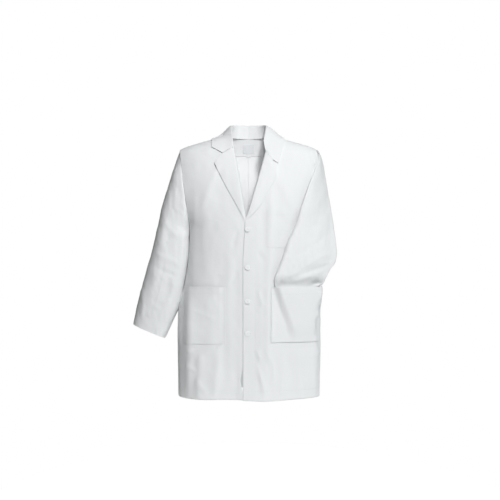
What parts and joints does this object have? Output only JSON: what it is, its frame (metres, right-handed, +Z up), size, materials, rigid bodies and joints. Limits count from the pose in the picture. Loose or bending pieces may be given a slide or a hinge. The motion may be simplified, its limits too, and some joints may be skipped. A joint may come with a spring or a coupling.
{
  "type": "lab coat",
  "caption": "White notched-collar lab coat with a buttoned front, long sleeves, chest pocket and two hip pockets, hanging upright.",
  "frame": {"origin": "middle of the neck opening, level with the foot of the collar at the back", "axes": "+Z up, out of the neck; the coat's front faces -Y; +X is the wearer's left"},
  "size_m": [0.7726, 0.28, 1.0371],
  "materials": {
    "coat_cloth": "white poly-cotton twill, soft matte",
    "button_plastic": "white polyester, soft gloss",
    "sewing_thread": "white polyester thread",
    "label_cloth": "plain woven label, blank",
    "interlining": "stiff non-woven interlining"
  },
  "bodies": {
    "coat": {"back_neck_facing": "coat_cloth", "buttonhole_threads": "sewing_thread", "chest_pocket": "coat_cloth", "chest_pocket_hem": "coat_cloth", "collar_interlining": "interlining", "collar_stand": "coat_cloth", "left_back_hem": "coat_cloth", "left_back_panel": "coat_cloth", "left_cuff_turning": "coat_cloth", "left_front_facing": "coat_cloth", "left_front_hem": "coat_cloth", "left_front_panel": "coat_cloth", "left_front_placket": "coat_cloth", "left_pocket": "coat_cloth", "left_pocket_hem": "coat_cloth", "left_sleeve": "coat_cloth", "neck_label": "label_cloth", "pocket_bartacks": "sewing_thread", "right_back_hem": "coat_cloth", "right_back_panel": "coat_cloth", "right_front_facing": "coat_cloth", "right_front_hem": "coat_cloth", "right_front_panel": "coat_cloth", "right_pocket": "coat_cloth", "right_pocket_hem": "coat_cloth", "size_tab": "label_cloth", "under_collar": "coat_cloth", "upper_collar": "coat_cloth", "vent_underlap": "coat_cloth"},
    "right_sleeve": {"right_upper_sleeve": "coat_cloth"},
    "right_forearm": {"right_lower_sleeve": "coat_cloth", "right_cuff_turning": "coat_cloth"},
    "left_lapel": {"left_lapel": "coat_cloth", "left_lapel_facing": "coat_cloth"},
    "right_lapel": {"right_lapel": "coat_cloth", "right_lapel_facing": "coat_cloth"},
    "button_1": {"button_1": "button_plastic", "button_1_thread": "sewing_thread"},
    "button_2": {"button_2": "button_plastic", "button_2_thread": "sewing_thread"},
    "button_3": {"button_3": "button_plastic", "button_3_thread": "sewing_thread"},
    "button_4": {"button_4": "button_plastic", "button_4_thread": "sewing_thread"}
  },
  "joints": [
    {"name": "right_shoulder", "type": "hinge", "parent": "coat", "child": "right_sleeve", "pos_m": [-0.245, 0, -0.188], "axis": [-0.9913, 0, -0.1313], "range_deg": [-12, 25]},
    {"name": "right_elbow", "type": "hinge", "parent": "right_sleeve", "child": "right_forearm", "pos_m": [-0.308, -0.062, -0.444], "axis": [-1, 0, 0], "range_deg": [0, 85]},
    {"name": "right_lapel_roll", "type": "hinge", "parent": "coat", "child": "right_lapel", "pos_m": [-0.011, -0.1183, -0.299], "axis": [-0.1595, 0.1667, 0.973], "range_deg": [0, 35]},
    {"name": "left_lapel_roll", "type": "hinge", "parent": "coat", "child": "left_lapel", "pos_m": [-0.007, -0.1183, -0.299], "axis": [-0.2928, -0.1506, -0.9442], "range_deg": [0, 35]},
    {"name": "button_1_rock", "type": "hinge", "parent": "coat", "child": "button_1", "pos_m": [-0.003, -0.12, -0.346], "axis": [0, 0, 1], "range_deg": [-8, 8]},
    {"name": "button_2_rock", "type": "hinge", "parent": "coat", "child": "button_2", "pos_m": [-0.003, -0.12028, -0.488], "axis": [0, 0, 1], "range_deg": [-8, 8]},
    {"name": "button_3_rock", "type": "hinge", "parent": "coat", "child": "button_3", "pos_m": [-0.003, -0.12172, -0.614], "axis": [0, 0, 1], "range_deg": [-8, 8]},
    {"name": "button_4_rock", "type": "hinge", "parent": "coat", "child": "button_4", "pos_m": [-0.003, -0.12383, -0.733], "axis": [0, 0, 1], "range_deg": [-8, 8]}
  ]
}
